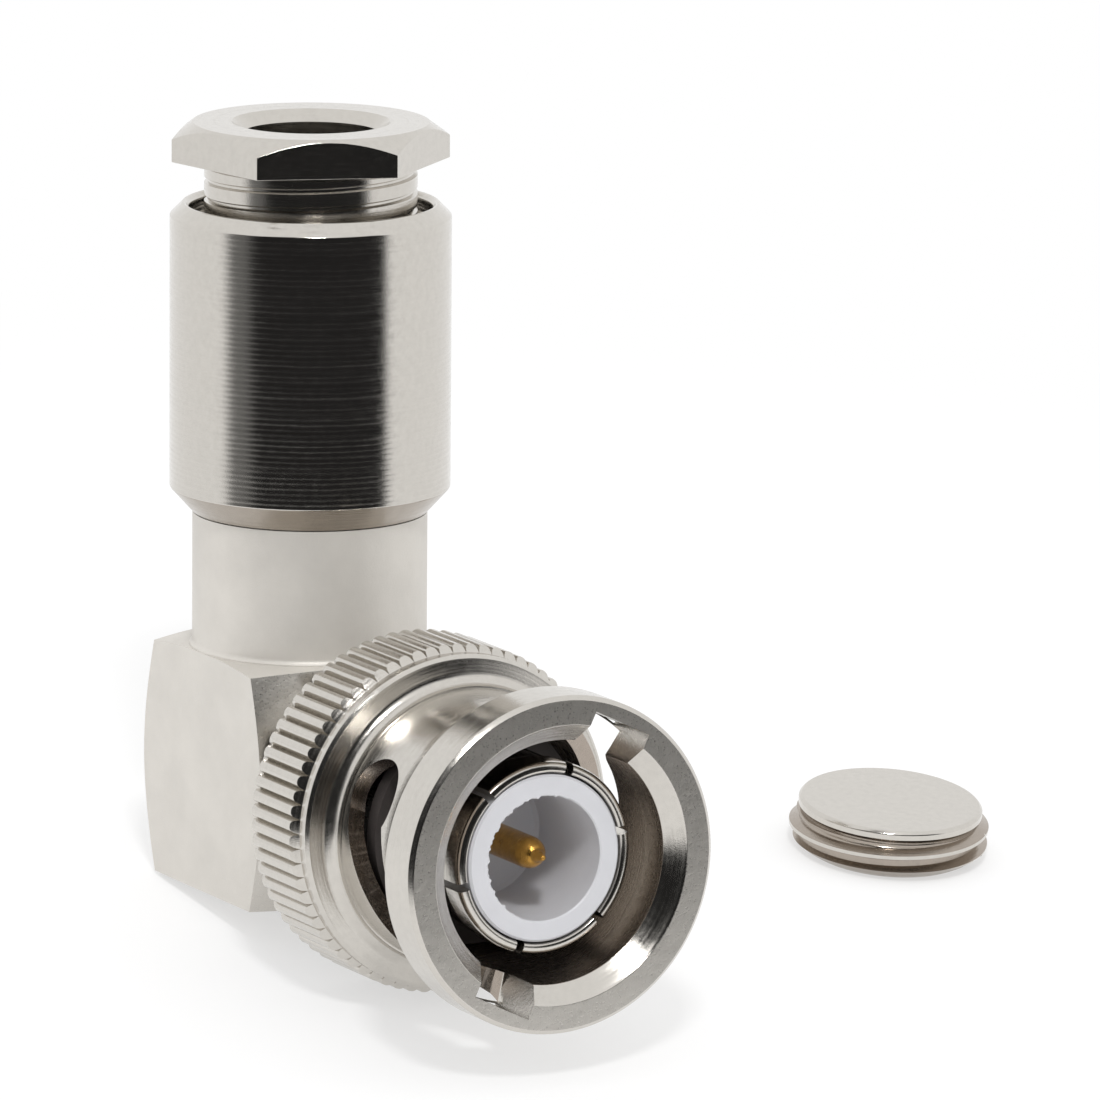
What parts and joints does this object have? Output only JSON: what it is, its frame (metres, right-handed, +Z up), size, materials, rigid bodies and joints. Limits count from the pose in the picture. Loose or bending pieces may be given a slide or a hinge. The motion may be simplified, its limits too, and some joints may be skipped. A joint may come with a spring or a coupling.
{
  "type": "bnc connector",
  "caption": "Right-angle coaxial bayonet plug with a knurled coupling ring, a clamp cable gland and a threaded rear cap laid beside it.",
  "frame": {"origin": "on the surface it rests on, under the middle of the whole set's bounding box", "axes": "+Z up from the surface; the plug's axis lies in the XZ plane and rises 8.97 degrees towards +X, the mating end; the cap lies towards +Y"},
  "size_m": [0.0334, 0.0398, 0.0344],
  "materials": {
    "nickel": "bright nickel plate on brass",
    "brushed_nickel": "turned nickel plate on brass, fine rings",
    "gold": "gold plate on brass",
    "spring_steel": "plain spring steel",
    "fluoropolymer": "white fluoropolymer, turned",
    "rubber": "black silicone rubber"
  },
  "bodies": {
    "elbow": {"elbow_block": "nickel", "clamp_barrel": "brushed_nickel", "outer_contact": "nickel", "plug_insulator": "fluoropolymer", "elbow_insulator": "fluoropolymer", "centre_contact": "gold", "interface_gasket": "rubber", "cable_insulator": "fluoropolymer", "braid_clamp": "nickel", "cable_gasket": "rubber", "backing_washer": "spring_steel", "spring_washer": "spring_steel", "retaining_ring": "spring_steel", "rear_cap": "nickel"},
    "ring_carrier": {"thrust_washer": "spring_steel"},
    "coupling_ring": {"coupling_ring": "nickel"},
    "gland_carrier": {"gland_washer": "brushed_nickel"},
    "gland_nut": {"gland_nut": "nickel"}
  },
  "joints": [
    {"name": "coupling_pull", "type": "slide", "parent": "elbow", "child": "ring_carrier", "axis": [0.9878, 0, 0.1559], "range_m": [0, 0.00055], "stiffness_N_per_m": 3000, "springref_m": -0.0004, "deforming": ["spring_washer"]},
    {"name": "coupling_turn", "type": "hinge", "parent": "ring_carrier", "child": "coupling_ring", "pos_m": [0.00915, -0.01241, 0.00848], "axis": [0.9878, 0, 0.1559], "continuous": true},
    {"name": "gland_travel", "type": "slide", "parent": "elbow", "child": "gland_carrier", "axis": [-0.1559, 0, 0.9878], "range_m": [-0.0017, 0.004]},
    {"name": "gland_turn", "type": "hinge", "parent": "gland_carrier", "child": "gland_nut", "pos_m": [-0.01074, -0.01241, 0.03194], "axis": [-0.1559, 0, 0.9878], "range_deg": [-775.7, 1823.8]}
  ],
  "couplings": [
    {"joint": "gland_turn", "follows": "gland_travel", "rad_per_m": 7953.4}
  ]
}
